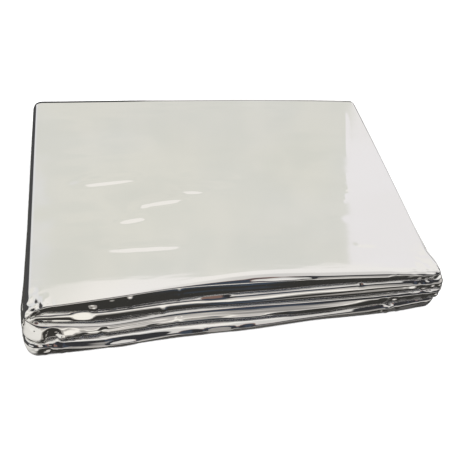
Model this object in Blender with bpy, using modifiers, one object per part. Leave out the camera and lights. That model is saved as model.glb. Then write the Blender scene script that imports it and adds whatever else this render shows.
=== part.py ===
"""Emergency foil blanket, folded flat into its pocket-size packet.

The real blanket is one sheet of metallised film. It is pleated lengthwise into a strip as wide as the packet,
and the strip is then folded back and forth. Here one back-and-forth section of eight layers stands for it, and
the sheet's thickness in this model is that of the pleated strip. The packet lies on its back: X runs along its
long side, the closed folds at -Y face the viewer, and +Z is up.
"""

from collections import namedtuple
from math import atan2, cos, exp, hypot, pi, radians, sin, sqrt

import bmesh
import bpy
from mathutils import Vector

MM = 0.001

# Driving sizes, in millimetres
LAYERS = 8
STRIP_THICKNESS = 1.1
SIDE_X = 60.0
BACK_END_Y = 41.6
SIDE_DROOP = 1.5
SIDE_DROOP_WIDTH = 4.5
EDGE_ROUNDING = 0.3

# Grid of the unfolded sheet
COLUMNS = 26
COLUMN_CROWDING = 0.85
TOP_LAYER_ROWS = 18
OUTER_LAYER_ROWS = 5
INNER_LAYER_ROWS = 4
NOSE_ROWS = 5
NOSE_ROUND_ENDS = 0.03

# Height of the whole stack over the floor, across the packet from left to right
Height = namedtuple("Height", "front middle back")
STACK_HEIGHTS = (
    Height(front=14.6, middle=14.9, back=14.9),
    Height(front=15.6, middle=15.7, back=14.9),
    Height(front=16.0, middle=15.9, back=15.0),
    Height(front=15.3, middle=15.6, back=15.1),
    Height(front=14.0, middle=14.9, back=15.1),
)

# How each gap between two layers takes its share of the height at the front, from the top gap down.
# The sixth fold from the top puffs up at the left, which makes the fat lobe at that corner.
Gaps = namedtuple("Gaps", "left middle right")
FRONT_GAPS = (
    Gaps(left=1.60, middle=2.35, right=1.90),
    Gaps(left=1.65, middle=1.75, right=1.70),
    Gaps(left=1.60, middle=2.10, right=2.05),
    Gaps(left=1.65, middle=1.75, right=1.75),
    Gaps(left=3.90, middle=2.35, right=2.10),
    Gaps(left=1.60, middle=1.75, right=1.65),
    Gaps(left=2.00, middle=2.25, right=1.75),
)

# Where each closed fold has its outermost line, as Y, across the packet from left to right
Line = namedtuple("Line", "left quarter middle three_quarters right")
FRONT_FOLDS = (
    Line(left=-41.4, quarter=-39.7, middle=-39.1, three_quarters=-39.9, right=-41.4),
    Line(left=-41.9, quarter=-41.3, middle=-41.5, three_quarters=-42.1, right=-42.3),
    Line(left=-45.2, quarter=-44.1, middle=-43.3, three_quarters=-43.5, right=-44.2),
    Line(left=-47.3, quarter=-46.7, middle=-46.1, three_quarters=-45.0, right=-45.3),
)
BACK_FOLDS = (
    Line(left=41.9, quarter=42.4, middle=42.6, three_quarters=42.3, right=41.6),
    Line(left=41.3, quarter=41.8, middle=42.2, three_quarters=42.7, right=42.2),
    Line(left=42.2, quarter=43.0, middle=42.5, three_quarters=41.9, right=41.6),
)
BACK_ENDS = {
    1: Line(left=40.9, quarter=41.3, middle=41.6, three_quarters=41.4, right=40.9),
    LAYERS: Line(left=40.4, quarter=41.6, middle=41.0, three_quarters=41.8, right=40.9),
}

# How far each layer stands out past the nominal side, from the top layer down
Side = namedtuple("Side", "left_front left_back right_front right_back")
SIDES = (
    Side(left_front=0.3, left_back=0.2, right_front=1.4, right_back=0.7),
    Side(left_front=1.0, left_back=0.7, right_front=3.2, right_back=0.9),
    Side(left_front=1.2, left_back=1.2, right_front=4.6, right_back=1.7),
    Side(left_front=1.6, left_back=1.0, right_front=5.2, right_back=1.4),
    Side(left_front=2.2, left_back=1.5, right_front=4.9, right_back=1.8),
    Side(left_front=2.5, left_back=1.1, right_front=4.0, right_back=1.2),
    Side(left_front=1.7, left_back=0.8, right_front=2.6, right_back=1.4),
    Side(left_front=0.9, left_back=0.4, right_front=1.4, right_back=0.6),
)

# Radius of each fold's corners, seen from above
Corner = namedtuple("Corner", "left right")
FRONT_CORNERS = (
    Corner(left=2.6, right=2.4),
    Corner(left=2.2, right=2.6),
    Corner(left=2.6, right=3.2),
    Corner(left=3.0, right=4.6),
)
BACK_CORNER = Corner(left=2.0, right=1.6)

# Soft creases that stand up on the top layer: middle, half length, half width, height and turn in degrees
Crease = namedtuple("Crease", "x y half_length half_width height turn")
TOP_CREASES = (
    Crease(x=-37.0, y=2.5, half_length=10.0, half_width=3.6, height=0.55, turn=7),
    Crease(x=-23.5, y=-8.0, half_length=8.5, half_width=3.4, height=0.50, turn=8),
    Crease(x=-28.0, y=-24.0, half_length=13.0, half_width=3.6, height=0.50, turn=-2),
    Crease(x=-43.0, y=-25.5, half_length=8.0, half_width=3.8, height=0.35, turn=-28),
    Crease(x=41.5, y=-6.5, half_length=4.5, half_width=7.5, height=0.45, turn=-6),
    Crease(x=33.0, y=-31.0, half_length=7.0, half_width=3.4, height=0.40, turn=-6),
    Crease(x=-2.0, y=20.0, half_length=26.0, half_width=6.0, height=0.30, turn=2),
)


def smooth_along(values, share):
    """The value at a share from 0 to 1 along evenly spaced values, on a smooth curve through all of them."""
    spans = len(values) - 1
    position = min(max(share, 0.0), 1.0) * spans
    start = min(int(position), spans - 1)
    t = position - start
    before = values[max(start - 1, 0)]
    a, b = values[start], values[start + 1]
    after = values[min(start + 2, spans)]
    slope_a, slope_b = (b - before) / 2, (after - a) / 2
    return (
        a * (2 * t**3 - 3 * t**2 + 1)
        + slope_a * (t**3 - 2 * t**2 + t)
        + b * (3 * t**2 - 2 * t**3)
        + slope_b * (t**3 - t**2)
    )


def mix(a, b, share):
    return a + (b - a) * share


def depth_share(y):
    """0 at the front of the packet and 1 at its back."""
    front = FRONT_FOLDS[0].left
    return min(max((y - front) / (BACK_END_Y - front), 0.0), 1.0)


def stack_height(across, side_distance, y):
    """Height of the top layer's upper face, which falls away softly at the left and right sides."""
    depth = depth_share(y)
    rows = [smooth_along(row, depth) for row in STACK_HEIGHTS]
    near_side = max(0.0, 1 - side_distance / SIDE_DROOP_WIDTH)
    return smooth_along(rows, across) - SIDE_DROOP * near_side**2


def gap_shares(across, y):
    """Each gap's share of the height between the bottom layer and the top one: uneven in front, even behind."""
    uneven = [smooth_along(gaps, across) for gaps in FRONT_GAPS]
    front_weight = (1 - depth_share(y)) ** 2
    weights = [mix(sum(uneven) / len(uneven), gap, front_weight) for gap in uneven]
    return [weight / sum(weights) for weight in weights]


def crease_height(x, y):
    """How far the creases lift the top layer at a point."""
    lift = 0.0
    for crease in TOP_CREASES:
        turn = radians(crease.turn)
        along = (x - crease.x) * cos(turn) + (y - crease.y) * sin(turn)
        aside = (y - crease.y) * cos(turn) - (x - crease.x) * sin(turn)
        lift += crease.height * exp(-((along / crease.half_length) ** 2) - (aside / crease.half_width) ** 2)
    return lift


def level(layer, across, side_distance, x, y):
    """Height of the middle of a layer, counted from 1 at the top."""
    share_below = sum(gap_shares(across, y)[layer - 1 :])
    room = stack_height(across, side_distance, y) - STRIP_THICKNESS
    lift = crease_height(x, y) if layer == 1 else 0.0
    return STRIP_THICKNESS / 2 + room * share_below + lift


def corner_setback(side_distance, radius):
    """How far a rounded corner draws a fold's line in, this far from the packet's side."""
    inside = min(max(0.0, radius - side_distance), radius)
    return radius - sqrt(radius**2 - inside**2)


def fold_line(line, corner, sign, across, left_distance, right_distance):
    """Y of a fold's outermost line, with its rounded corners."""
    setback = corner_setback(left_distance, corner.left) + corner_setback(right_distance, corner.right)
    return smooth_along(line, across) - sign * setback


# A row of the grid lies on a layer's flat run, at a share of it from front to back, or round the fold between
# two layers, at an angle from the upper layer's end
Row = namedtuple("Row", "layer run fold_side angle")


def rows_of_layer(layer):
    if layer == 1:
        return TOP_LAYER_ROWS
    return OUTER_LAYER_ROWS if layer == LAYERS else INNER_LAYER_ROWS


def grid_rows():
    """The rows in order along the sheet, from the top layer's back end to the bottom layer's back end."""
    rows = []
    for layer in range(1, LAYERS + 1):
        to_front = layer % 2 == 1
        steps = rows_of_layer(layer)
        first = 0 if layer == 1 else 1
        for step in range(first, steps + 1):
            share = step / steps
            rows.append(Row(layer, 1 - share if to_front else share, 0, 0.0))
        if layer < LAYERS:
            side = -1 if to_front else 1
            # The last row of the run is the fold's start, and the next layer leaves out its first row
            for step in range(1, NOSE_ROWS + 1):
                rows.append(Row(layer, 0.0 if to_front else 1.0, side, pi * step / NOSE_ROWS))
    return rows


def side_reach(layer, y):
    """How far a layer stands out past the nominal left and right sides."""
    side = SIDES[layer - 1]
    depth = depth_share(y)
    return mix(side.left_front, side.left_back, depth), mix(side.right_front, side.right_back, depth)


def fold_between(upper, sign):
    """The line and the corners of the closed fold that joins a layer to the one under it."""
    if sign < 0:
        return FRONT_FOLDS[(upper - 1) // 2], FRONT_CORNERS[(upper - 1) // 2]
    return BACK_FOLDS[upper // 2 - 1], BACK_CORNER


def fold_centre(upper, sign, across, left_distance, right_distance, x):
    """(Y, Z, radius) of the half circle that joins a layer to the one under it."""
    tip = fold_line(*fold_between(upper, sign), sign, across, left_distance, right_distance)
    near = min(left_distance, right_distance)
    top, bottom = (level(layer, across, near, x, tip) for layer in (upper, upper + 1))
    radius = (top - bottom) / 2
    return tip - sign * (radius + STRIP_THICKNESS / 2), (top + bottom) / 2, radius


def run_end(layer, sign, across, left_distance, right_distance, x):
    """Y where a layer's flat run ends, at the start of a fold or at the sheet's own cut end."""
    if sign > 0 and layer in BACK_ENDS:
        return fold_line(BACK_ENDS[layer], BACK_CORNER, sign, across, left_distance, right_distance)
    opens_to_front = layer % 2 == 1
    upper = layer if (sign < 0) == opens_to_front else layer - 1
    return fold_centre(upper, sign, across, left_distance, right_distance, x)[0]


def folded_point(row, across):
    """Where a point of the flat sheet lies in the packet, in metres."""
    side_y = mix(FRONT_FOLDS[0].left, BACK_END_Y, row.run)
    left, right = side_reach(row.layer, side_y)
    if row.fold_side:
        next_left, next_right = side_reach(row.layer + 1, side_y)
        turned = row.angle / pi
        left, right = mix(left, next_left, turned), mix(right, next_right, turned)
    x = mix(-SIDE_X - left, SIDE_X + right, across)
    left_distance, right_distance = x + SIDE_X + left, SIDE_X + right - x
    distances = across, left_distance, right_distance, x
    near = min(left_distance, right_distance)
    if row.fold_side:
        y_centre, z_centre, radius = fold_centre(row.layer, row.fold_side, *distances)
        y = y_centre + row.fold_side * radius * sin(row.angle)
        z = z_centre + radius * cos(row.angle)
    else:
        front, back = (run_end(row.layer, sign, *distances) for sign in (-1, 1))
        y = mix(front, back, row.run)
        z = level(row.layer, across, near, x, y)
    return Vector((x, y, z)) * MM


def column_share(column):
    """Columns crowd towards the packet's sides, where its corners are round."""
    even = column / COLUMNS
    crowded = (1 - cos(pi * even)) / 2
    return mix(even, crowded, COLUMN_CROWDING)


def clear_scene():
    for obj in list(bpy.data.objects):
        bpy.data.objects.remove(obj)


def metallised_film():
    """Bright aluminised film: a silver mirror, a little softened by fine wrinkles."""
    material = bpy.data.materials.new("metallised_film")
    material.use_nodes = True
    shader = material.node_tree.nodes["Principled BSDF"]
    shader.inputs["Base Color"].default_value = (0.80, 0.80, 0.78, 1.0)
    shader.inputs["Metallic"].default_value = 1.0
    shader.inputs["Roughness"].default_value = 0.14
    return material


def fold_sheet():
    """The flat sheet as an even grid, with each of its points carried to its place in the folded packet."""
    rows = grid_rows()
    sheet = bmesh.new()
    bmesh.ops.create_grid(sheet, x_segments=COLUMNS, y_segments=len(rows) - 1, size=0.5)
    for vertex in sheet.verts:
        column = round((vertex.co.x + 0.5) * COLUMNS)
        row = round((vertex.co.y + 0.5) * (len(rows) - 1))
        vertex.co = folded_point(rows[row], column_share(column))
    mesh = bpy.data.meshes.new("foil_blanket")
    sheet.to_mesh(mesh)
    sheet.free()
    return mesh


def give_thickness(obj):
    """Half the strip's thickness on each face of the grid, with its rim rounded."""
    solidify = obj.modifiers.new("strip_thickness", "SOLIDIFY")
    solidify.thickness = STRIP_THICKNESS * MM
    solidify.offset = 0.0
    solidify.use_even_offset = False
    bevel = obj.modifiers.new("round_rim", "BEVEL")
    bevel.width = EDGE_ROUNDING * MM
    bevel.segments = 1
    bevel.limit_method = "ANGLE"
    bevel.angle_limit = radians(60)


def stand_on_origin(obj):
    """Moves the mesh so that the packet's box stands centred on the origin."""
    graph = bpy.context.evaluated_depsgraph_get()
    corners = [Vector(corner) for corner in obj.evaluated_get(graph).bound_box]
    low = Vector(min(corner[axis] for corner in corners) for axis in range(3))
    high = Vector(max(corner[axis] for corner in corners) for axis in range(3))
    centre = (low + high) / 2
    for vertex in obj.data.vertices:
        vertex.co -= Vector((centre.x, centre.y, low.z))


clear_scene()
packet = bpy.data.collections.new("emergency_foil_blanket")
bpy.context.scene.collection.children.link(packet)
blanket = bpy.data.objects.new("foil_blanket", fold_sheet())
packet.objects.link(blanket)
blanket.data.materials.append(metallised_film())
blanket.data.shade_smooth()
give_thickness(blanket)
stand_on_origin(blanket)
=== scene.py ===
from collections import namedtuple
from math import radians

import bpy
import numpy as np
from mathutils import Matrix, Vector


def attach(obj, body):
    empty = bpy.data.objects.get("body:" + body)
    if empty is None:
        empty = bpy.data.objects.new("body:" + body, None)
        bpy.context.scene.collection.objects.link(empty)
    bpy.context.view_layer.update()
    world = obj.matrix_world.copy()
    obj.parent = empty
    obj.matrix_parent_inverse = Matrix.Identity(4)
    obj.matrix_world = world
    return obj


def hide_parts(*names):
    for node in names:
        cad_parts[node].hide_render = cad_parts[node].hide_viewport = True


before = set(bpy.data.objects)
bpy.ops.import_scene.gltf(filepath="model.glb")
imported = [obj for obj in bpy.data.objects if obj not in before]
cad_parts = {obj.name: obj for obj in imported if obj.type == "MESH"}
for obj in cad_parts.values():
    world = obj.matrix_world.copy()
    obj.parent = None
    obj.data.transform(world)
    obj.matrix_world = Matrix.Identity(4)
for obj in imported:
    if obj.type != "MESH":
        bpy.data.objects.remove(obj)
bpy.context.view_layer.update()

# The folded film.
# One sheet of thin plastic film with a bright aluminium coating, pleated lengthwise into a strip as wide as
# the packet. The strip is folded back and forth into eight layers, so four closed folds stand one over
# another in front.

# In millimetres: X runs along the packet's long side, the closed folds are in front at -Y, and +Z is up
MM = 0.001
LAYERS = 8
CAD_THICKNESS = 1.1
SIDE_X = 60.0
BACK_Y = 41.6
FRONT_Y = -41.4

# How far the inner layers fall away at their sides, and how far in that starts
EDGE_DROOP = 0.25
EDGE_DROOP_WIDTH = 0.9

# Half of an inner layer's thickness, as a share of the gap to the next layer, and the most that it may be
THICKNESS_SHARE = 0.44
THICKEST_HALF = 0.95

# How far the finished packet moves over the floor, in X and Y, to lie where the solid does
PACKET_SHIFT = (-1.295, 2.133)

# Heights and places across the packet, at seven even stations from left to right
Line = namedtuple("Line", "left left_outer left_inner middle right_inner right_outer right")

# Height of the whole stack, at its front, middle and back
STACK_HEIGHTS = (
    Line(14.6, 15.3, 15.9, 16.0, 15.6, 15.0, 14.0),
    Line(14.9, 15.5, 15.8, 15.9, 15.8, 15.4, 14.9),
    Line(14.9, 14.9, 15.0, 15.0, 15.1, 15.05, 14.85),
)

# Each front fold's height over the floor where it bends down, from the top fold down
FOLD_TOPS = (
    STACK_HEIGHTS[0],
    Line(12.4, 9.9, 9.9, 10.3, 10.9, 11.5, 11.1),
    Line(9.9, 5.8, 6.1, 6.3, 6.4, 6.8, 7.6),
    Line(3.6, 2.4, 2.3, 2.3, 2.3, 2.8, 3.9),
)

# How far each even layer lies over the front fold below it
BETWEEN_FOLDS = 1.5

# Where each front fold bends down to its face, where each back fold has its outermost line, and where the
# sheet's two cut ends lie behind
FRONT_FOLDS = (
    Line(-40.0, -39.3, -38.1, -37.8, -38.5, -39.4, -40.3),
    Line(-41.2, -40.7, -39.8, -40.1, -40.5, -40.9, -41.5),
    Line(-42.6, -42.6, -41.3, -41.5, -42.1, -42.5, -42.7),
    Line(-45.9, -46.4, -45.5, -45.6, -44.8, -44.5, -43.6),
)
BACK_FOLDS = (
    Line(41.9, 42.3, 42.5, 42.6, 42.4, 42.1, 41.6),
    Line(41.3, 41.7, 41.9, 42.2, 42.5, 42.7, 42.2),
    Line(42.2, 42.8, 42.9, 42.5, 42.1, 41.9, 41.6),
)
BACK_ENDS = {
    1: Line(40.9, 41.2, 41.4, 41.6, 41.5, 41.3, 40.9),
    LAYERS: Line(40.4, 41.3, 41.4, 41.0, 41.5, 41.7, 40.9),
}

# How far the packet's top falls away at its sides, and how far in that starts
Droop = namedtuple("Droop", "depth width")
LEFT_DROOP = Droop(depth=0.5, width=1.3)
RIGHT_DROOP = Droop(depth=0.12, width=0.8)

# How far each layer stands out past the nominal side, from the top layer down, and how much more at its front
# corners, which take up a small share of the packet's depth
Side = namedtuple("Side", "left_front left_back left_corner right_front right_back right_corner")
SIDES = (
    Side(left_front=1.5, left_back=0.5, left_corner=0.0, right_front=1.4, right_back=0.7, right_corner=1.7),
    Side(left_front=1.7, left_back=0.8, left_corner=0.0, right_front=3.0, right_back=0.9, right_corner=1.2),
    Side(left_front=1.9, left_back=1.0, left_corner=0.0, right_front=4.8, right_back=1.5, right_corner=0.6),
    Side(left_front=2.2, left_back=1.1, left_corner=0.0, right_front=5.5, right_back=1.4, right_corner=0.7),
    Side(left_front=2.6, left_back=1.3, left_corner=0.2, right_front=5.5, right_back=1.6, right_corner=1.1),
    Side(left_front=3.0, left_back=1.1, left_corner=0.4, right_front=5.0, right_back=1.2, right_corner=1.5),
    Side(left_front=2.4, left_back=0.8, left_corner=0.8, right_front=3.8, right_back=1.2, right_corner=2.0),
    Side(left_front=1.6, left_back=0.4, left_corner=0.8, right_front=2.6, right_back=0.6, right_corner=2.0),
)
CORNER_DEPTH = 0.09

# Radius of each fold's corners, seen from above. Below 0, the corner flares out instead, by this share of it.
Corner = namedtuple("Corner", "left right")
FRONT_CORNERS = (
    Corner(left=-6.0, right=2.4),
    Corner(left=2.2, right=2.6),
    Corner(left=5.8, right=3.2),
    Corner(left=3.8, right=3.4),
)
BACK_CORNER = Corner(left=3.2, right=2.2)
CORNER_FLARE = 0.6

# The face of each front fold, as tilts from level in degrees: the film slopes a little on its shoulder,
# turns over its bend, goes down its face in four bands, and tucks under at its chin. The shoulder and bend
# are lengths in millimetres.
Face = namedtuple("Face", "shoulder bend shoulder_tilt bend_tilt top upper lower bottom")
FOLD_FACES = (
    Face(
        shoulder=Line(1.0, 1.0, 1.6, 2.0, 2.2, 2.0, 1.8),
        bend=Line(0.3, 0.3, 0.3, 1.2, 0.9, 0.9, 0.4),
        shoulder_tilt=Line(5, 6, 9, 12, 12, 12, 12),
        bend_tilt=Line(50, 50, 48, 30, 50, 50, 30),
        top=Line(81, 81, 81, 81, 81, 81, 80),
        upper=Line(81, 81, 81, 81, 81, 81, 80),
        lower=Line(81, 81, 81, 81, 81, 81, 81),
        bottom=Line(83, 82, 82, 82, 82, 82, 84),
    ),
    Face(
        shoulder=Line(1.6, 1.4, 1.4, 1.8, 1.8, 1.6, 1.4),
        bend=Line(0.3, 1.5, 1.4, 1.9, 1.9, 1.3, 0.5),
        shoulder_tilt=Line(10, 8, 8, 9, 8, 12, 34),
        bend_tilt=Line(52, 61, 61, 61, 61, 52, 32),
        top=Line(80, 82, 84, 84, 84, 84, 82),
        upper=Line(80, 77, 80, 71, 68, 68, 80),
        lower=Line(82, 79, 77, 82, 80, 80, 80),
        bottom=Line(86, 86, 86, 98, 100, 96, 90),
    ),
    Face(
        shoulder=Line(1.8, 0.9, 1.4, 2.0, 2.2, 2.0, 1.8),
        bend=Line(0.6, 0.3, 0.4, 0.7, 0.6, 0.6, 0.5),
        shoulder_tilt=Line(14, 13, 13, 10, 8, 10, 16),
        bend_tilt=Line(45, 52, 40, 32, 32, 32, 32),
        top=Line(61, 50, 56, 50, 51, 64, 78),
        upper=Line(62, 61, 57, 51, 50, 72, 84),
        lower=Line(63, 61, 57, 58, 66, 74, 86),
        bottom=Line(80, 84, 66, 76, 82, 86, 88),
    ),
    Face(
        shoulder=Line(1.8, 2.0, 2.2, 2.2, 2.0, 2.0, 1.6),
        bend=Line(0.5, 0.5, 0.5, 0.3, 0.3, 0.5, 0.5),
        shoulder_tilt=Line(12, 46, 12, 10, 9, 20, 18),
        bend_tilt=Line(50, 56, 50, 45, 45, 50, 50),
        top=Line(60, 60, 66, 78, 80, 64, 70),
        upper=Line(70, 66, 72, 80, 84, 72, 76),
        lower=Line(76, 76, 78, 84, 86, 80, 84),
        bottom=Line(84, 84, 84, 88, 88, 86, 88),
    ),
)
CHIN_LENGTH = 0.6
TUCK_TILT = 172
TUCK_END_TILT = 180

# Shares that shape the turns: the part of the shoulder that eases into its slope, how much of the bend's
# tilt its first row has, how much of the face's tilt its last row has, and where each band starts and ends
# its turn
SHOULDER_EASE = 0.6
BEND_START = 0.85
BEND_END = 0.3
BAND_TURN = (0.28, 0.72)

# Fine streaks along each front fold, as their length in millimetres, how many rows each takes, and the most
# that they tilt its shoulder and its face, in degrees. They grow over the fold's first rows.
Streaks = namedtuple("Streaks", "seed length rows shoulder face")
FOLD_STREAKS = (
    Streaks(seed=3, length=16.0, rows=3.0, shoulder=1.5, face=Line(3, 3, 3, 3, 3, 3, 10)),
    Streaks(seed=5, length=18.0, rows=2.0, shoulder=2.0, face=Line(5, 11, 9, 8, 7, 8, 14)),
    Streaks(seed=8, length=10.0, rows=2.6, shoulder=4.0, face=Line(3, 6, 9, 9, 9, 10, 14)),
    Streaks(seed=13, length=7.0, rows=2.6, shoulder=5.0, face=Line(12, 12, 12, 6, 6, 12, 14)),
)
STREAK_GROWTH_ROWS = 4

# Smooth facets on the front folds: the place across and the row down from a fold's start, half sizes, how
# many rows it slants down for each millimetre to the right, and the tilt in degrees that it keeps inside
# its rim
Facet = namedtuple("Facet", "fold x row half_x half_rows slant tilt")
FACETS = (
    Facet(fold=1, x=-43.0, row=22, half_x=1.5, half_rows=3.6, slant=0.6, tilt=61),
    Facet(fold=1, x=-43.2, row=22, half_x=0.6, half_rows=1.6, slant=0.0, tilt=80),
    Facet(fold=1, x=-38.0, row=15, half_x=1.2, half_rows=2.2, slant=0.0, tilt=70),
    Facet(fold=1, x=-33.3, row=14, half_x=0.8, half_rows=2.4, slant=0.0, tilt=60),
    Facet(fold=1, x=-20.4, row=13, half_x=0.6, half_rows=1.6, slant=0.0, tilt=60),
    Facet(fold=1, x=10.0, row=7.4, half_x=14.0, half_rows=0.9, slant=0.0, tilt=24),
    Facet(fold=1, x=9.0, row=9.6, half_x=11.0, half_rows=1.8, slant=0.0, tilt=8),
    Facet(fold=1, x=47.0, row=12, half_x=5.5, half_rows=6.0, slant=0.0, tilt=74),
    Facet(fold=2, x=-45.6, row=10, half_x=3.4, half_rows=9.0, slant=0.0, tilt=61),
    Facet(fold=2, x=-51.5, row=24, half_x=4.6, half_rows=3.4, slant=0.0, tilt=62),
    Facet(fold=2, x=-24.6, row=12, half_x=0.9, half_rows=5.5, slant=1.6, tilt=61),
    Facet(fold=2, x=-10.3, row=5, half_x=5.5, half_rows=4.0, slant=0.0, tilt=20),
    Facet(fold=2, x=32.5, row=5, half_x=1.0, half_rows=4.0, slant=0.0, tilt=21),
    Facet(fold=3, x=-58.5, row=18, half_x=4.4, half_rows=10.0, slant=0.0, tilt=62),
    Facet(fold=3, x=-52.3, row=17, half_x=1.9, half_rows=8.0, slant=0.0, tilt=80),
    Facet(fold=3, x=-48.0, row=17, half_x=2.8, half_rows=8.0, slant=0.0, tilt=61),
    Facet(fold=3, x=-42.9, row=14, half_x=2.1, half_rows=4.0, slant=0.0, tilt=57),
    Facet(fold=3, x=-39.8, row=14, half_x=0.9, half_rows=4.0, slant=0.0, tilt=74),
    Facet(fold=3, x=-44.8, row=22, half_x=0.6, half_rows=1.6, slant=0.0, tilt=76),
    Facet(fold=3, x=-27.0, row=23, half_x=1.6, half_rows=1.6, slant=0.0, tilt=68),
    Facet(fold=3, x=-20.1, row=15, half_x=0.7, half_rows=1.6, slant=0.0, tilt=68),
    Facet(fold=3, x=-16.5, row=22, half_x=4.0, half_rows=2.6, slant=0.0, tilt=61),
    Facet(fold=3, x=7.2, row=25.5, half_x=5.6, half_rows=2.4, slant=-0.6, tilt=78),
    Facet(fold=3, x=29.5, row=24, half_x=5.0, half_rows=4.0, slant=0.0, tilt=78),
    Facet(fold=3, x=48.5, row=19, half_x=1.5, half_rows=4.0, slant=0.0, tilt=80),
    Facet(fold=3, x=54.0, row=24, half_x=1.0, half_rows=4.5, slant=-1.0, tilt=60),
    Facet(fold=3, x=57.6, row=19, half_x=0.9, half_rows=3.0, slant=0.0, tilt=58),
    Facet(fold=4, x=-16.3, row=8, half_x=4.0, half_rows=3.4, slant=0.0, tilt=34),
    Facet(fold=4, x=-8.5, row=6, half_x=4.5, half_rows=3.0, slant=0.0, tilt=50),
    Facet(fold=4, x=-1.0, row=7, half_x=2.6, half_rows=2.6, slant=-0.5, tilt=32),
    Facet(fold=4, x=-35.0, row=8, half_x=4.4, half_rows=3.4, slant=0.0, tilt=8),
    Facet(fold=4, x=43.6, row=10, half_x=0.8, half_rows=2.4, slant=0.0, tilt=6),
    Facet(fold=4, x=47.3, row=18, half_x=0.7, half_rows=2.4, slant=0.0, tilt=61),
)
FACET_RIM = 0.80

# Grid over the unfolded strip: its columns crowd towards the two sides, and the top layer's rows towards
# the front. The inner layers have rows at a few shares of the way from front to back.
COLUMNS = 200
COLUMN_CROWDING = 0.40
TOP_ROWS = 100
TOP_CROWDING = 1.1
INNER_PLACES = (0.0, 0.09, 0.5, 1.0)
BOTTOM_ROWS = 6
SHOULDER_ROWS = 8
BEND_ROWS = 4
FACE_ROWS = 18
CHIN_ROWS = 3
TUCK_ROWS = 2
BACK_FOLD_ROWS = 10
FRONT_FOLD_ROWS = SHOULDER_ROWS + BEND_ROWS + FACE_ROWS + CHIN_ROWS + TUCK_ROWS

# A row of places across the packet, as shares of its width and as distances from its two sides
Place = namedtuple("Place", "across from_left from_right")


def smooth_along(values, share):
    """The values at shares from 0 to 1 along even stations, on a smooth curve through all of them."""
    values = np.asarray(values, float)
    share = np.asarray(share, float)
    spans = len(values) - 1
    position = np.clip(share, 0, 1) * spans
    start = np.minimum(position.astype(int), spans - 1)
    t = position - start
    before, a = values[np.maximum(start - 1, 0)], values[start]
    b, after = values[start + 1], values[np.minimum(start + 2, spans)]
    slope_a, slope_b = (b - before) / 2, (after - a) / 2
    return (
        a * (2 * t**3 - 3 * t**2 + 1)
        + slope_a * (t**3 - 2 * t**2 + t)
        + b * (3 * t**2 - 2 * t**3)
        + slope_b * (t**3 - t**2)
    )


def mix(a, b, share):
    """The first value at a share of 0, the second at a share of 1."""
    return a + (b - a) * share


def soft_step(low, high, value):
    """0 up to the low value and 1 from the high one on, with a soft step between."""
    t = np.clip((value - low) / (high - low), 0, 1)
    return t * t * (3 - 2 * t)


def soft_bump(distance):
    """1 at no distance, 0 past a distance of 1."""
    return (1 - np.clip(distance, 0, 1) ** 2) ** 2


def hills(points, seed):
    """Smooth random hills from -1 to 1 through space, about one to each unit."""
    size = 32
    lattice = np.random.default_rng(seed).uniform(-1, 1, (size, size, size))
    base = np.floor(points).astype(int)
    t = points - base
    t = t * t * (3 - 2 * t)
    total = 0.0
    for corner in np.ndindex(2, 2, 2):
        weight = np.prod(np.where(corner, t, 1 - t), axis=-1)
        i, j, k = np.moveaxis((base + corner) % size, -1, 0)
        total = total + weight * lattice[i, j, k]
    return total


def depth_share(y):
    """The share of the way from the packet's front to its back."""
    return np.clip((y - FRONT_Y) / (BACK_Y - FRONT_Y), 0, 1)


def side_distance(place):
    """How far places lie from the nearer side of the packet."""
    return np.minimum(place.from_left, place.from_right)


def stack_height(place, y):
    """Height of the packet's top, which falls away softly at the left and right sides."""
    front, middle, back = (smooth_along(line, place.across) for line in STACK_HEIGHTS)
    depth = depth_share(y)
    # One curve through the three heights, from front to back
    height = front * (1 - depth) * (1 - 2 * depth)
    height = height + 4 * middle * depth * (1 - depth) + back * depth * (2 * depth - 1)
    left, right = (
        droop.depth * np.clip(1 - side_distance(place) / droop.width, 0, 1) ** 2
        for droop in (LEFT_DROOP, RIGHT_DROOP)
    )
    return height - np.where(place.across < 0.5, left, right)


def room_below(layer, across, y):
    """A layer's share of the height from the bottom layer to the top one: uneven in front, even behind."""
    tops = [smooth_along(line, across) - CAD_THICKNESS / 2 for line in FOLD_TOPS]
    if layer == LAYERS:
        level = CAD_THICKNESS / 2
    else:
        level = tops[layer // 2] + (0 if layer % 2 else BETWEEN_FOLDS)
    uneven = (level - CAD_THICKNESS / 2) / (tops[0] - CAD_THICKNESS / 2)
    return mix((LAYERS - layer) / (LAYERS - 1), uneven, (1 - depth_share(y)) ** 2)


def layer_level(layer, place, y):
    """Height of the middle of a layer, and half the thickness that fills its room there."""
    room = stack_height(place, y) - CAD_THICKNESS
    neighbours = range(max(layer - 1, 1), min(layer + 1, LAYERS) + 1)
    shares = {near: room_below(near, place.across, y) for near in neighbours}
    level = CAD_THICKNESS / 2 + room * shares[layer]
    if layer in (1, LAYERS):
        half = np.full_like(level, CAD_THICKNESS / 2)
    else:
        level = level - EDGE_DROOP * np.clip(1 - side_distance(place) / EDGE_DROOP_WIDTH, 0, 1) ** 2
        nearest = np.minimum(shares[layer - 1] - shares[layer], shares[layer] - shares[layer + 1])
        half = THICKNESS_SHARE * room * nearest
    return level, np.minimum(half, THICKEST_HALF)


def corner_setback(distance, radius):
    """How far a fold's line stands back near one side of the packet, or, below 0, how far it flares out."""
    inside = np.clip(abs(radius) - distance, 0, abs(radius))
    if radius < 0:
        return CORNER_FLARE * inside**2 / radius
    return radius - np.sqrt(radius**2 - inside**2)


def fold_line(line, corner, side, place):
    """Y of a fold's line, with its rounded corners."""
    setback = corner_setback(place.from_left, corner.left) + corner_setback(place.from_right, corner.right)
    return smooth_along(line, place.across) - side * setback


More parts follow.
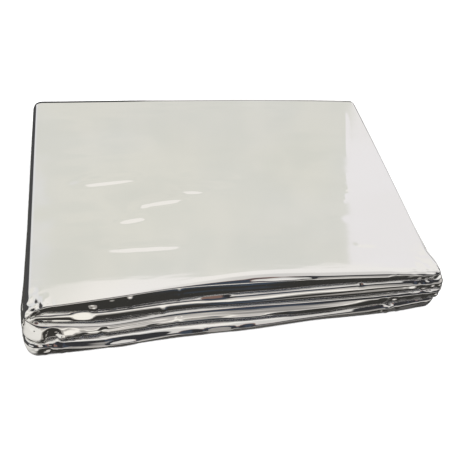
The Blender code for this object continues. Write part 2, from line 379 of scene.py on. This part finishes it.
def fold_between(upper, side):
    """The line and the corners of the fold between a layer and the one below it."""
    if side < 0:
        return FRONT_FOLDS[(upper - 1) // 2], FRONT_CORNERS[(upper - 1) // 2]
    return BACK_FOLDS[upper // 2 - 1], BACK_CORNER


def fold_room(upper, side, place):
    """Y of a closed fold's line, and the levels and half thicknesses of the two layers that it joins."""
    tip = fold_line(*fold_between(upper, side), side, place)
    top, half_top = layer_level(upper, place, tip)
    bottom, half_bottom = layer_level(upper + 1, place, tip)
    return tip, top, half_top, bottom, half_bottom


def row_shares(rows):
    """The share of a stretch that lies before the middle of each of its rows, as a column."""
    return (np.arange(rows)[:, None] + 0.5) / rows


def banded(values, rows):
    """Rows that keep to each value in turn for a while, with a short soft step between."""
    spans = len(values) - 1
    position = row_shares(rows) * spans
    total = values[0] + 0 * position
    for number, (value, following) in enumerate(zip(values, values[1:])):
        turned = soft_step(number + BAND_TURN[0], number + BAND_TURN[1], position)
        total = total + (following - value) * turned
    return total


def fold_tilts(number, across):
    """Tilts of a front fold's shoulder, bend and face, with its streaks and facets, as rows by columns."""
    face = FOLD_FACES[number - 1]
    slope, turning, top, upper, lower, bottom = (smooth_along(line, across) for line in face[2:])
    shoulder = slope * soft_step(0, SHOULDER_EASE, row_shares(SHOULDER_ROWS))
    bend = [mix(slope, turning, BEND_START), *[turning] * (BEND_ROWS - 2), mix(turning, top, BEND_END)]
    tilts = np.concatenate([shoulder, bend, banded((top, upper, lower, bottom), FACE_ROWS)])
    row = np.arange(len(tilts))[:, None] + 0 * across
    x = mix(-SIDE_X, SIDE_X, across) + 0 * row
    streaks = FOLD_STREAKS[number - 1]
    run = hills(np.stack([x / streaks.length, row / streaks.rows, 0.5 + 0 * x], axis=-1), streaks.seed)
    on_face = soft_step(SHOULDER_ROWS - 1, SHOULDER_ROWS + BEND_ROWS, row)
    strength = mix(streaks.shoulder, smooth_along(streaks.face, across), on_face)
    tilts = tilts + run * strength * soft_step(0, STREAK_GROWTH_ROWS, row)
    for facet in FACETS:
        if facet.fold == number:
            aside = row - facet.row - facet.slant * (x - facet.x)
            distance = np.hypot((x - facet.x) / facet.half_x, aside / facet.half_rows)
            tilts = mix(tilts, facet.tilt, 1 - soft_step(FACET_RIM, 1.0, distance))
    return tilts


def fold_profile(number, across, height):
    """How far out and how far down a front fold's rows lie from where it starts, as rows by columns."""
    one = np.ones_like(across)
    shown = fold_tilts(number, across)
    last = shown[-1]
    bent = SHOULDER_ROWS + BEND_ROWS
    # Each stretch: its rows' tilts, and its length if that is known
    stretches = (
        (shown[:SHOULDER_ROWS], smooth_along(FOLD_FACES[number - 1].shoulder, across)),
        (shown[SHOULDER_ROWS:bent], smooth_along(FOLD_FACES[number - 1].bend, across)),
        (shown[bent:], None),
        (mix(last, TUCK_TILT * one, row_shares(CHIN_ROWS)), CHIN_LENGTH * one),
        (mix(TUCK_TILT * one, TUCK_END_TILT * one, row_shares(TUCK_ROWS)), None),
    )
    out = [np.cos(np.radians(tilts)).mean(axis=0) for tilts, _ in stretches]
    down = [np.sin(np.radians(tilts)).mean(axis=0) for tilts, _ in stretches]
    lengths = [length for _, length in stretches]
    known = [index for index, length in enumerate(lengths) if length is not None]
    needed_out = -sum(out[index] * lengths[index] for index in known)
    needed_down = height - sum(down[index] * lengths[index] for index in known)
    # The face and the tuck are as long as it takes to come back under the start, on the layer below
    spread = out[2] * down[4] - down[2] * out[4]
    lengths[2] = (needed_out * down[4] - needed_down * out[4]) / spread
    lengths[4] = (out[2] * needed_down - down[2] * needed_out) / spread
    steps = [(np.radians(tilts), length / len(tilts)) for (tilts, _), length in zip(stretches, lengths)]
    steps_out = np.concatenate([np.cos(tilts) * step for tilts, step in steps])
    steps_down = np.concatenate([np.sin(tilts) * step for tilts, step in steps])
    return np.cumsum(steps_out, axis=0), np.cumsum(steps_down, axis=0)


def front_start(upper, place):
    """Y where a front fold's shoulder starts, with the fold's profile."""
    bend, top, half_top, bottom, half_bottom = fold_room(upper, -1, place)
    height = top + half_top - bottom + half_bottom
    out, down = fold_profile((upper + 1) // 2, place.across, height)
    return bend + out[SHOULDER_ROWS + BEND_ROWS // 2 - 1], out, down


def run_end(layer, side, place):
    """Y where a layer's flat run ends: at a fold, or at the sheet's own cut end."""
    if side > 0 and layer in BACK_ENDS:
        return fold_line(BACK_ENDS[layer], BACK_CORNER, side, place)
    opens_to_front = layer % 2 == 1
    upper = layer if (side < 0) == opens_to_front else layer - 1
    if side < 0:
        return front_start(upper, place)[0]
    tip, top, half_top, bottom, half_bottom = fold_room(upper, side, place)
    return tip - (top + half_top - bottom + half_bottom) / 2


def side_reach(layer, depth):
    """How far a layer stands out past the nominal left and right sides, at a share of the packet's depth."""
    side = SIDES[layer - 1]
    corner = soft_step(CORNER_DEPTH, 0, depth)
    left = mix(side.left_front, side.left_back, depth) + side.left_corner * corner
    right = mix(side.right_front, side.right_back, depth) + side.right_corner * corner
    return left, right


# A row on the strip: its layer, the share of the way from front to back along that layer's flat run, and,
# on a closed fold, its side of the packet (-1 in front, 1 behind) and the share of the fold that is turned
FilmRow = namedtuple("FilmRow", "layer run fold_side turned")


def film_rows():
    """The rows along the strip, from the top layer's back end to the bottom layer's."""
    rows = []
    for layer in range(1, LAYERS + 1):
        to_front = layer % 2 == 1
        if layer == 1:
            places = (1 - np.linspace(0, 1, TOP_ROWS + 1)) ** TOP_CROWDING
        elif layer == LAYERS:
            places = np.linspace(0, 1, BOTTOM_ROWS + 1)[1:]
        else:
            places = INNER_PLACES[-2::-1] if to_front else INNER_PLACES[1:]
        rows.extend(FilmRow(layer, place, 0, 0.0) for place in places)
        if layer < LAYERS:
            side = -1 if to_front else 1
            steps = FRONT_FOLD_ROWS if to_front else BACK_FOLD_ROWS
            for step in range(1, steps + 1):
                rows.append(FilmRow(layer, 0.0 if to_front else 1.0, side, step / steps))
    return rows


def film_columns():
    """The columns across the strip, as shares of its width."""
    even = np.linspace(0, 1, COLUMNS + 1)
    return mix(even, (1 - np.cos(np.pi * even)) / 2, COLUMN_CROWDING)


def fold_row(row, x, place):
    """A row of points round a closed fold, on the strip's first face and on its second."""
    tip, top, half_top, bottom, half_bottom = fold_room(row.layer, row.fold_side, place)
    inner_radius = (top - half_top - bottom - half_bottom) / 2
    outer_radius = (top + half_top - bottom + half_bottom) / 2
    middle = (top - half_top + bottom + half_bottom) / 2
    turn = np.pi * row.turned

    def arc(start, radius):
        y = start + row.fold_side * radius * np.sin(turn)
        return np.stack([x, y, middle + radius * np.cos(turn)], axis=-1)

    if row.fold_side > 0:
        start = tip - outer_radius
        return arc(start, inner_radius), arc(start, outer_radius)
    start, out, down = front_start(row.layer, place)
    step = round(row.turned * FRONT_FOLD_ROWS) - 1
    outer = np.stack([x, start - out[step], top + half_top - down[step]], axis=-1)
    return outer, arc(start, inner_radius)


def run_row(row, x, place):
    """A row of points across a layer's flat run, on the strip's first face and on its second."""
    front, back = (run_end(row.layer, side, place) for side in (-1, 1))
    y = mix(front, back, row.run)
    level, half = layer_level(row.layer, place, y)
    upper, lower = (np.stack([x, y, height], axis=-1) for height in (level + half, level - half))
    return (upper, lower) if row.layer % 2 == 1 else (lower, upper)


def film_faces(rows, across):
    """The strip's two faces as grids of points: the one that is on top in the first layer, and the other."""
    pairs = []
    for row in rows:
        left, right = side_reach(row.layer, row.run)
        if row.fold_side:
            next_left, next_right = side_reach(row.layer + 1, row.run)
            left, right = mix(left, next_left, row.turned), mix(right, next_right, row.turned)
        x = mix(-SIDE_X - left, SIDE_X + right, across)
        place = Place(across, from_left=x + SIDE_X + left, from_right=SIDE_X + right - x)
        pairs.append(fold_row(row, x, place) if row.fold_side else run_row(row, x, place))
    first, second = (np.array(face) for face in zip(*pairs))
    return first, second


def face_normals(points):
    """The directions in which a grid of points faces."""
    normals = np.cross(np.gradient(points, axis=0), np.gradient(points, axis=1))
    return normals / np.linalg.norm(normals, axis=-1, keepdims=True)


# Creases on the packet's top: where each one's middle is, half its length and width, its height, and its
# turn in degrees. Each is steeper in front than behind, and has blunt ends.
Crease = namedtuple("Crease", "x y half_length half_width height turn")
TOP_CREASES = (
    Crease(x=-37.0, y=2.4, half_length=14.0, half_width=2.8, height=0.27, turn=5),
    Crease(x=-21.5, y=-7.0, half_length=10.0, half_width=2.3, height=0.24, turn=6),
    Crease(x=-28.6, y=-8.9, half_length=4.0, half_width=2.4, height=0.12, turn=24),
    Crease(x=-11.8, y=-3.4, half_length=6.5, half_width=2.1, height=0.23, turn=-2),
    Crease(x=-31.0, y=-13.2, half_length=6.0, half_width=2.1, height=0.19, turn=6),
    Crease(x=-28.5, y=-23.8, half_length=15.0, half_width=1.9, height=0.11, turn=-2),
    Crease(x=-6.0, y=0.5, half_length=14.0, half_width=4.0, height=0.16, turn=-4),
    Crease(x=-8.0, y=35.5, half_length=46.0, half_width=1.4, height=0.06, turn=0),
    Crease(x=51.1, y=22.0, half_length=13.5, half_width=1.6, height=0.06, turn=71),
    Crease(x=43.6, y=-0.3, half_length=2.8, half_width=1.3, height=0.15, turn=16),
    Crease(x=42.7, y=-5.0, half_length=3.2, half_width=1.4, height=0.17, turn=10),
    Crease(x=39.8, y=-9.2, half_length=2.8, half_width=1.2, height=0.14, turn=14),
    Crease(x=33.0, y=-18.0, half_length=7.0, half_width=1.3, height=0.05, turn=2),
    Crease(x=41.0, y=-28.0, half_length=5.0, half_width=0.9, height=0.06, turn=-4),
)
CREASE_FRONT = 0.7
CREASE_BACK = 1.3
CREASE_BLUNTNESS = 1.5

# Faint waves that run across the packet: their height, their length and width, and their share right of the
# middle. They stay clear of the sides, rise behind the front strip, and are full in the left part.
WAVE_HEIGHT = 0.09
WAVE_LENGTH = 16
WAVE_WIDTH = 4.6
WAVE_SEED = 31
WAVES_AT_RIGHT = 0.12
WAVES_AT_LEFT_FROM = -50
WAVES_CLEAR_OF_SIDES = 6
WAVES_CLEAR_OF_FRONT = (12, 30)


def on_top_panel(points, row_numbers):
    """The top layer's face with its creases and waves."""
    shaped = points.copy()
    panel = shaped[row_numbers]
    for crease in TOP_CREASES:
        turn = radians(crease.turn)
        from_x, from_y = panel[..., 0] - crease.x, panel[..., 1] - crease.y
        along = (from_x * np.cos(turn) + from_y * np.sin(turn)) / crease.half_length
        aside = from_y * np.cos(turn) - from_x * np.sin(turn)
        aside = aside / (crease.half_width * np.where(aside < 0, CREASE_FRONT, CREASE_BACK))
        panel[..., 2] += crease.height * soft_bump(np.hypot(abs(along) ** CREASE_BLUNTNESS, aside))
    x, behind_front = panel[..., 0], panel[..., 1] - FRONT_Y
    inside = soft_step(0, WAVES_CLEAR_OF_SIDES, SIDE_X - abs(x))
    inside = inside * soft_step(*WAVES_CLEAR_OF_FRONT, behind_front)
    waves = hills(np.stack([x / WAVE_LENGTH, panel[..., 1] / WAVE_WIDTH, 0 * x + 0.5], axis=-1), WAVE_SEED)
    strength = mix(WAVES_AT_RIGHT, 1.0, soft_step(0, WAVES_AT_LEFT_FROM, x))
    panel[..., 2] += WAVE_HEIGHT * waves * inside * strength
    shaped[row_numbers] = panel
    return shaped


# Crumpled places: the middle of each, its reach, and how high and how wide its crumples are
Crumple = namedtuple("Crumple", "x y z reach height cell seed")
CRUMPLES = (
    Crumple(x=-60.0, y=-42.0, z=12.5, reach=9.0, height=0.35, cell=1.2, seed=21),
    Crumple(x=-55.0, y=-46.0, z=1.5, reach=9.0, height=0.28, cell=1.1, seed=22),
    Crumple(x=61.0, y=-41.0, z=9.5, reach=12.5, height=0.32, cell=1.5, seed=23),
    Crumple(x=47.0, y=-44.0, z=3.0, reach=8.0, height=0.26, cell=1.2, seed=24),
)


def crumpled(points):
    """The face with small random crumples near its corners."""
    normals = face_normals(points)
    shift = np.zeros(points.shape[:2])
    for crumple in CRUMPLES:
        distance = np.linalg.norm(points - crumple[:3], axis=-1)
        strength = crumple.height * soft_bump(distance / crumple.reach)
        shift += strength * hills(points / crumple.cell, crumple.seed)
    return points + normals * shift[..., None]


# The rim round the strip's edge: how many points go round it, how far it stands out at most, and the fine
# grooves between the leaves of film that show there
RIM_POINTS = 8
RIM_REACH = 0.75
RIM_LEAVES = 3
GROOVE_DEPTH = 0.30
LEAF_ROUNDNESS = 0.6


def rim_chains(first, second, loop):
    """Chains of points along the strip's edge, one after another from its first face to its second."""
    middle = ((first + second) / 2).reshape(-1, 3)[loop]
    half = ((first - second) / 2).reshape(-1, 3)[loop]
    half_length = np.linalg.norm(half, axis=-1, keepdims=True)
    tangent = np.roll(middle, -1, axis=0) - np.roll(middle, 1, axis=0)
    outward = np.cross(tangent, half)
    outward /= np.linalg.norm(outward, axis=-1, keepdims=True)
    chains = []
    for step in range(1, RIM_POINTS):
        angle = np.pi * step / RIM_POINTS
        leaf = abs(np.sin(RIM_LEAVES / 2 * angle)) ** LEAF_ROUNDNESS
        reach = np.minimum(half_length, RIM_REACH) * np.sin(angle) * (1 - GROOVE_DEPTH * (1 - leaf))
        chains.append(middle + half * np.cos(angle) + outward * reach)
    return chains


def grid_faces(numbers, turned):
    """Quads between neighbours in a grid of point numbers, wound the other way round if turned."""
    a, b, c, d = numbers[:-1, :-1], numbers[:-1, 1:], numbers[1:, 1:], numbers[1:, :-1]
    return np.stack([a, d, c, b] if turned else [a, b, c, d], axis=-1).reshape(-1, 4).tolist()


def closed_film(name, first, second):
    """A closed mesh from the grids of a strip's two faces, with a rounded rim. The second is coarser."""
    count_rows, count_columns = first.shape[:2]
    coarse_columns = (count_columns + 1) // 2
    grid = np.arange(count_rows * count_columns).reshape(count_rows, count_columns)
    coarse = grid.size + np.arange(count_rows * coarse_columns).reshape(count_rows, coarse_columns)
    # The rim runs once round the grid: first row, last column, last row backwards, first column backwards
    loop = np.concatenate([grid[0, :], grid[1:, -1], grid[-1, -2::-1], grid[-2:0:-1, 0]])
    loop_rows, loop_columns = np.divmod(loop, count_columns)
    rim = rim_chains(first, second, loop)
    rim_numbers = grid.size + coarse.size + np.arange(len(rim) * len(loop)).reshape(len(rim), len(loop))
    chains = [loop, *rim_numbers, coarse[loop_rows, (loop_columns + 1) // 2]]
    faces = grid_faces(grid, True) + grid_faces(coarse, False)
    for chain, following in zip(chains, chains[1:]):
        corners = chain, np.roll(chain, -1), np.roll(following, -1), following
        for face in np.stack(corners, axis=-1).tolist():
            faces.append(face[:3] if face[2] == face[3] else face)
    points = np.concatenate([first.reshape(-1, 3), second[:, ::2].reshape(-1, 3), *rim])
    mesh = bpy.data.meshes.new(name)
    mesh.from_pydata(points * MM, [], faces)
    mesh.update()
    return mesh


strip_rows = film_rows()
first_face, second_face = film_faces(strip_rows, film_columns())
panel_rows = [number for number, row in enumerate(strip_rows) if row.layer == 1 and row.fold_side == 0]
first_face = crumpled(on_top_panel(first_face, panel_rows))
for face in (first_face, second_face):
    face[..., :2] += PACKET_SHIFT
    face[..., 2] = np.maximum(face[..., 2], 0)
film_mesh = closed_film("foil_film", first_face, second_face)
foil = bpy.data.objects.new("foil_film", film_mesh)
bpy.context.scene.collection.objects.link(foil)
film_mesh.shade_smooth()


class Field:
    """A number, colour or vector that changes over a surface. Arithmetic on it adds Math nodes."""

    def __init__(self, tree, socket):
        self.tree = tree
        self.socket = socket

    @classmethod
    def node(cls, tree, kind, settings=None, inputs=None, output=0):
        """What one output of a new node gives, with the node's settings and inputs."""
        new = tree.nodes.new(kind)
        for name, value in (settings or {}).items():
            setattr(new, name, value)
        for name, value in (inputs or {}).items():
            if isinstance(value, Field):
                tree.links.new(value.socket, new.inputs[name])
            else:
                new.inputs[name].default_value = value
        return cls(tree, new.outputs[output])

    def math(self, operation, first, second):
        return self.node(self.tree, "ShaderNodeMath", {"operation": operation}, {0: first, 1: second})

    def __add__(self, other):
        return self.math("ADD", self, other)

    __radd__ = __add__

    def __mul__(self, other):
        return self.math("MULTIPLY", self, other)

    __rmul__ = __mul__

    def __sub__(self, other):
        return self.math("SUBTRACT", self, other)

    def __rsub__(self, other):
        return self.math("SUBTRACT", other, self)

    def step(self, low, high):
        """0 below low and 1 above high, with a soft step between."""
        return self.node(
            self.tree,
            "ShaderNodeMapRange",
            {"interpolation_type": "SMOOTHSTEP"},
            {"Value": self, "From Min": low, "From Max": high, "To Min": 0.0, "To Max": 1.0},
        )

    def between(self, rise, fall):
        """1 between a soft rise and a soft fall, and 0 outside them."""
        return self.step(*rise) * (1.0 - self.step(*fall))

    def blend(self, first, second):
        """A colour between two others, with this number as its share of the second."""
        inputs = {0: self, 6: first, 7: second}
        return self.node(self.tree, "ShaderNodeMix", {"data_type": "RGBA"}, inputs, output=2)


# The coating's colour drifts from a little warm to a little cool. It is duller and rougher on broad wrinkles.
WARM_FILM = (0.905, 0.900, 0.880, 1.0)
COOL_FILM = (0.890, 0.890, 0.898, 1.0)
DULL_FILM = (0.860, 0.858, 0.845, 1.0)
DULLED = 0.5
SMOOTHEST = 0.03
ROUGHER = 0.04
WARM_TO_COOL = (0.35, 0.65)
SHINY_TO_DULL = (0.42, 0.62)

# Wrinkles in the coating, which run along the packet's long side, as a number for each metre. Their depth is
# in metres.
Wrinkles = namedtuple("Wrinkles", "per_metre shortened detail")
BROAD_WRINKLES = Wrinkles(per_metre=45.0, shortened=0.35, detail=2.0)
FINE_WRINKLES = Wrinkles(per_metre=260.0, shortened=0.2, detail=2.0)
COLOUR_DRIFT = Wrinkles(per_metre=22.0, shortened=1.0, detail=1.0)
BROAD_SHARE = 0.8
FINE_SHARE = 0.2
WRINKLE_RAGGEDNESS = 0.55
WRINKLE_DEPTH = 0.0004
WRINKLE_STRENGTH = 0.25


def metallised_film():
    """Aluminium on plastic film: a mirror with fine lengthwise wrinkles and a faint warm and cool drift."""
    material = bpy.data.materials.new("metallised_film")
    material.use_nodes = True
    tree = material.node_tree
    shader = tree.nodes["Principled BSDF"]
    place = Field.node(tree, "ShaderNodeTexCoord", output="Object")

    def wrinkled(size):
        scale = (size.shortened, 1.0, 1.0)
        stretched = Field.node(tree, "ShaderNodeMapping", {}, {"Vector": place, "Scale": scale})
        noise = {
            "Vector": stretched,
            "Scale": size.per_metre,
            "Detail": size.detail,
            "Roughness": WRINKLE_RAGGEDNESS,
        }
        return Field.node(tree, "ShaderNodeTexNoise", {}, noise)

    broad, fine, drift = (wrinkled(size) for size in (BROAD_WRINKLES, FINE_WRINKLES, COLOUR_DRIFT))
    colour = drift.step(*WARM_TO_COOL).blend(WARM_FILM, COOL_FILM)
    colour = (DULLED * broad.step(*SHINY_TO_DULL)).blend(colour, DULL_FILM)
    height = broad * BROAD_SHARE + fine * FINE_SHARE
    relief = {"Height": height, "Strength": WRINKLE_STRENGTH, "Distance": WRINKLE_DEPTH}
    tree.links.new(colour.socket, shader.inputs["Base Color"])
    tree.links.new((broad * ROUGHER + SMOOTHEST).socket, shader.inputs["Roughness"])
    tree.links.new(Field.node(tree, "ShaderNodeBump", {}, relief).socket, shader.inputs["Normal"])
    shader.inputs["Metallic"].default_value = 1.0
    return material


film_mesh.materials.append(metallised_film())
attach(foil, "root")
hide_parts("foil_blanket")

# The floor.
# A plain pale sheet of paper under the packet, wide enough to fill the view. Where the film mirrors it, its
# colour is painted shade in zones: a nearly black painted shadow close in front of the packet, with a bluish
# painted shade, and paler painted shade farther off and beside it.

FLOOR_SIZE = 6.0
PAPER = (0.95, 0.95, 0.95, 1.0)
# Painted shade: colours that only the film's reflections see on the paper, darkest near the packet's front as
# a painted shadow, paler farther off
CONTACT_SHADE = (0.049, 0.048, 0.046, 1.0)
NEAR_SHADE = (0.080, 0.077, 0.073, 1.0)
DARK_SHADE = (0.026, 0.025, 0.023, 1.0)
BLUE_SHADE = (0.036, 0.050, 0.074, 1.0)
TAN_SHADE = (0.210, 0.199, 0.186, 1.0)
FAR_SHADE = (0.56, 0.54, 0.505, 1.0)
RIGHT_SHADE = (0.50, 0.49, 0.48, 1.0)
LEFT_SHADE = (0.49, 0.48, 0.46, 1.0)
BLUENESS = 0.9
PAPER_ROUGHNESS = 0.8

# In metres: where the painted shade zones count from, where those in front start and are full, and the bounds
# of the blue painted shade and of the pale painted parts beside the packet
FRONT_LINE = -0.0435
NEAR_ZONE = (-0.001, 0.001)
DARK_ZONE = (0.0016, 0.0030)
BLUE_ZONE = (0.007, 0.011)
TAN_ZONE = (0.018, 0.026)
FAR_ZONE = (0.038, 0.060)
BLUE_FROM_LEFT = (-0.028, -0.014)
BLUE_TO_RIGHT = (0.004, 0.024)
BESIDE = (0.060, 0.066)
RIGHT_FROM_FRONT = (-0.024, -0.012)
LEFT_FROM_BACK = (-0.009, -0.003)

bpy.ops.object.select_all(action="DESELECT")
bpy.ops.mesh.primitive_plane_add(size=FLOOR_SIZE, location=(0, 0, 0))
floor = bpy.context.object
floor.name = "floor"
paper = bpy.data.materials.new("pale_floor")
paper.use_nodes = True
paper_tree = paper.node_tree
paper_shader = paper_tree.nodes["Principled BSDF"]
mirrored = Field.node(paper_tree, "ShaderNodeLightPath", output="Is Glossy Ray")
paper_place = Field.node(paper_tree, "ShaderNodeTexCoord", output="Object")
paper_x, paper_y = (
    Field.node(paper_tree, "ShaderNodeSeparateXYZ", {}, {"Vector": paper_place}, output=axis) for axis in "XY"
)
ahead = FRONT_LINE - paper_y
# A bluish painted shade on the paper some way ahead of the packet's middle, seen only in the film's
# reflections
blue_painted_shade = paper_x.between(BLUE_FROM_LEFT, BLUE_TO_RIGHT) * ahead.step(*BLUE_ZONE)
right_part = paper_x.step(*BESIDE) * paper_y.step(*RIGHT_FROM_FRONT)
left_part = (-1.0 * paper_x).step(*BESIDE) * ahead.step(*LEFT_FROM_BACK)
# The paper's colour in the film's reflections: painted shade, built zone by zone
shade = ahead.step(*NEAR_ZONE).blend(CONTACT_SHADE, NEAR_SHADE)
shade = ahead.step(*DARK_ZONE).blend(shade, DARK_SHADE)
shade = (BLUENESS * blue_painted_shade).blend(shade, BLUE_SHADE)
shade = ahead.step(*TAN_ZONE).blend(shade, TAN_SHADE)
shade = ahead.step(*FAR_ZONE).blend(shade, FAR_SHADE)
shade = right_part.blend(shade, RIGHT_SHADE)
shade = left_part.blend(shade, LEFT_SHADE)
# Camera and diffuse rays see the plain paper; the film's reflections see the painted shade
paper_tree.links.new(mirrored.blend(PAPER, shade).socket, paper_shader.inputs["Base Color"])
paper_shader.inputs["Roughness"].default_value = PAPER_ROUGHNESS
paper_shader.inputs["Specular IOR Level"].default_value = 0.0
floor.data.materials.append(paper)

# The studio's light.
# White diffusers overhead, a grey wall behind with a paler one to its right, and a dim room on the other
# sides, which the mirror-bright film shows as its light and dark bands. All else gets one even soft light.

GREY_WALL = (0.770, 0.762, 0.705, 1.0)
GREY_WALL_SHADE = (0.735, 0.735, 0.682, 1.0)
PALE_WALL = (0.898, 0.874, 0.872, 1.0)
LEFT_WALL = (0.795, 0.793, 0.800, 1.0)
DIFFUSERS = (0.925, 0.900, 0.865, 1.0)
DIFFUSER_EDGE = (0.70, 0.68, 0.655, 1.0)
BROWN_ROOM = (0.24, 0.15, 0.125, 1.0)
BLUE_ROOM = (0.050, 0.062, 0.084, 1.0)
FAR_ROOM = (0.62, 0.59, 0.56, 1.0)
SIDE_LAMP = (0.88, 0.87, 0.84, 1.0)
DIM_ROOM = (0.035, 0.035, 0.038, 1.0)
LOW_ROOM = (0.33, 0.315, 0.30, 1.0)
SIDE_ROOM = (0.066, 0.066, 0.068, 1.0)
EVEN_LIGHT = (1.75, 1.75, 1.75, 1.0)

# Directions in which the studio's parts lie. The lines where the diffusers fade to their edge and where the
# room in front starts are leans from overhead towards the front, in degrees.
TO_PALE_WALL = (0.873, -0.246, -0.421)
TO_LEFT_WALL = (-0.985, 0.020, -0.171)
TO_DIFFUSERS = (0.011, -0.869, 0.492)
TO_LAMP = (-0.86, -0.50, 0.0)
TO_LEFT = (-1.0, 0.0, 0.0)
TO_RIGHT = (1.0, 0.0, 0.0)
UPWARD = (0.0, 0.0, 1.0)
DIFFUSER_EDGE_LEAN = -16.0
ROOM_LEAN = 5.0

# Where each part starts and is full, as how far the light's direction leans towards it. What lies below the
# walls starts and is full by height.
PALE_WALL_BORDER = (-0.006, 0.006)
LEFT_WALL_BORDER = (0.008, 0.040)
DIFFUSER_BORDER = (-0.012, 0.0)
DIFFUSER_FADE = (0.0, 0.18)
DIFFUSER_RIGHT_PART = (-0.20, -0.05)
DIFFUSER_LEFT_STRENGTH = 0.4
BELOW_WALLS = (0.50, 0.40)
ROOM_BORDER = (0.0, 0.07)
LOW_ROOM_BORDER = (0.50, 0.37)
FAR_ROOM_BORDER = (0.30, 0.06)
PATCH_LEFT = (0.10, 0.18)
PATCH_RIGHT = (0.30, 0.38)
BROWN_TO_BLUE = (0.10, 0.24)
SIDE_ROOM_BORDER = (0.26, 0.34)
LAMP_SHADE = (0.78, 0.86)
LAMP_BORDER = (0.80, 0.88)
WALL_PATCHES = 12.0
WALL_PATCH_DETAIL = 2.0
WALL_TO_SHADE = (0.35, 0.65)

world = bpy.data.worlds.new("studio")
bpy.context.scene.world = world
world.use_nodes = True
studio_tree = world.node_tree
direction = Field.node(studio_tree, "ShaderNodeTexCoord", output="Generated")


def facing(towards):
    """How far the light's direction leans towards another, from -1 to 1."""
    inputs = {0: direction, 1: Vector(towards).normalized()}
    dot = {"operation": "DOT_PRODUCT"}
    return Field.node(studio_tree, "ShaderNodeVectorMath", dot, inputs, output="Value")


def leaning(degrees):
    """How far the light's direction lies in front of a line that leans from overhead towards the front."""
    angle = radians(degrees)
    return facing((0.0, -np.cos(angle), -np.sin(angle)))


sideways, height = facing(TO_RIGHT), facing(UPWARD)
ahead_of_room, to_lamp = leaning(ROOM_LEAN), facing(TO_LAMP)
patches = {"Vector": direction, "Scale": WALL_PATCHES, "Detail": WALL_PATCH_DETAIL}
uneven = Field.node(studio_tree, "ShaderNodeTexNoise", {}, patches)
walls = uneven.step(*WALL_TO_SHADE).blend(GREY_WALL, GREY_WALL_SHADE)
walls = facing(TO_PALE_WALL).step(*PALE_WALL_BORDER).blend(walls, PALE_WALL)
walls = facing(TO_LEFT_WALL).step(*LEFT_WALL_BORDER).blend(walls, LEFT_WALL)
diffusers = leaning(DIFFUSER_EDGE_LEAN).step(*DIFFUSER_FADE).blend(DIFFUSERS, DIFFUSER_EDGE)
strength = DIFFUSER_LEFT_STRENGTH + (1.0 - DIFFUSER_LEFT_STRENGTH) * sideways.step(*DIFFUSER_RIGHT_PART)
overhead = facing(TO_DIFFUSERS).step(*DIFFUSER_BORDER) * strength
studio = overhead.blend(walls, diffusers)
studio = height.step(*BELOW_WALLS).blend(studio, DIM_ROOM)
# In front, from high to low: a dim room with a brown and a blue patch, its lower part, and its far floor
tinted = sideways.between(PATCH_LEFT, PATCH_RIGHT)
tints = ahead_of_room.step(*BROWN_TO_BLUE).blend(BROWN_ROOM, BLUE_ROOM)
room = tinted.blend(DIM_ROOM, tints)
room = height.step(*LOW_ROOM_BORDER).blend(room, LOW_ROOM)
room = height.step(*FAR_ROOM_BORDER).blend(room, FAR_ROOM)
studio = ahead_of_room.step(*ROOM_BORDER).blend(studio, room)
# At the left: the room's dark side, and a lamp in front of it
dark_side = facing(TO_LEFT).step(*SIDE_ROOM_BORDER) * (1.0 - to_lamp.step(*LAMP_SHADE))
studio = dark_side.blend(studio, SIDE_ROOM)
studio = to_lamp.step(*LAMP_BORDER).blend(studio, SIDE_LAMP)
glossy = Field.node(studio_tree, "ShaderNodeLightPath", output="Is Glossy Ray")
background = studio_tree.nodes["Background"]
studio_tree.links.new(glossy.blend(EVEN_LIGHT, studio).socket, background.inputs["Color"])

# The camera.
# It stands where the photograph was taken from: in front of the packet's left half and well above it. It
# looks down at about 52 degrees, and is rolled about 14 degrees on its own axis.

# In millimetres, but for the nearest distance that it sees, which is in metres
CAMERA_PLACE = Vector((-41.37, -111.29, 144.29))
CAMERA_RIGHT = Vector((0.97080, -0.18477, 0.15302)).normalized()
CAMERA_FORWARD = Vector((0.23293, 0.57326, -0.78557)).normalized()
SENSOR_WIDTH = 36.0
LENS = 42.54
NEAREST_SEEN = 0.005

camera_data = bpy.data.cameras.new("camera")
camera_data.sensor_width = SENSOR_WIDTH
camera_data.lens = LENS
camera_data.clip_start = NEAREST_SEEN
camera = bpy.data.objects.new("camera", camera_data)
bpy.context.scene.collection.objects.link(camera)
camera_up = CAMERA_RIGHT.cross(CAMERA_FORWARD)
stand = Matrix((CAMERA_RIGHT, camera_up, -CAMERA_FORWARD)).transposed().to_4x4()
stand.translation = MM * (CAMERA_PLACE + Vector((*PACKET_SHIFT, 0.0)))
camera.matrix_world = stand
bpy.context.scene.camera = camera
bpy.context.scene.view_settings.view_transform = "Standard"
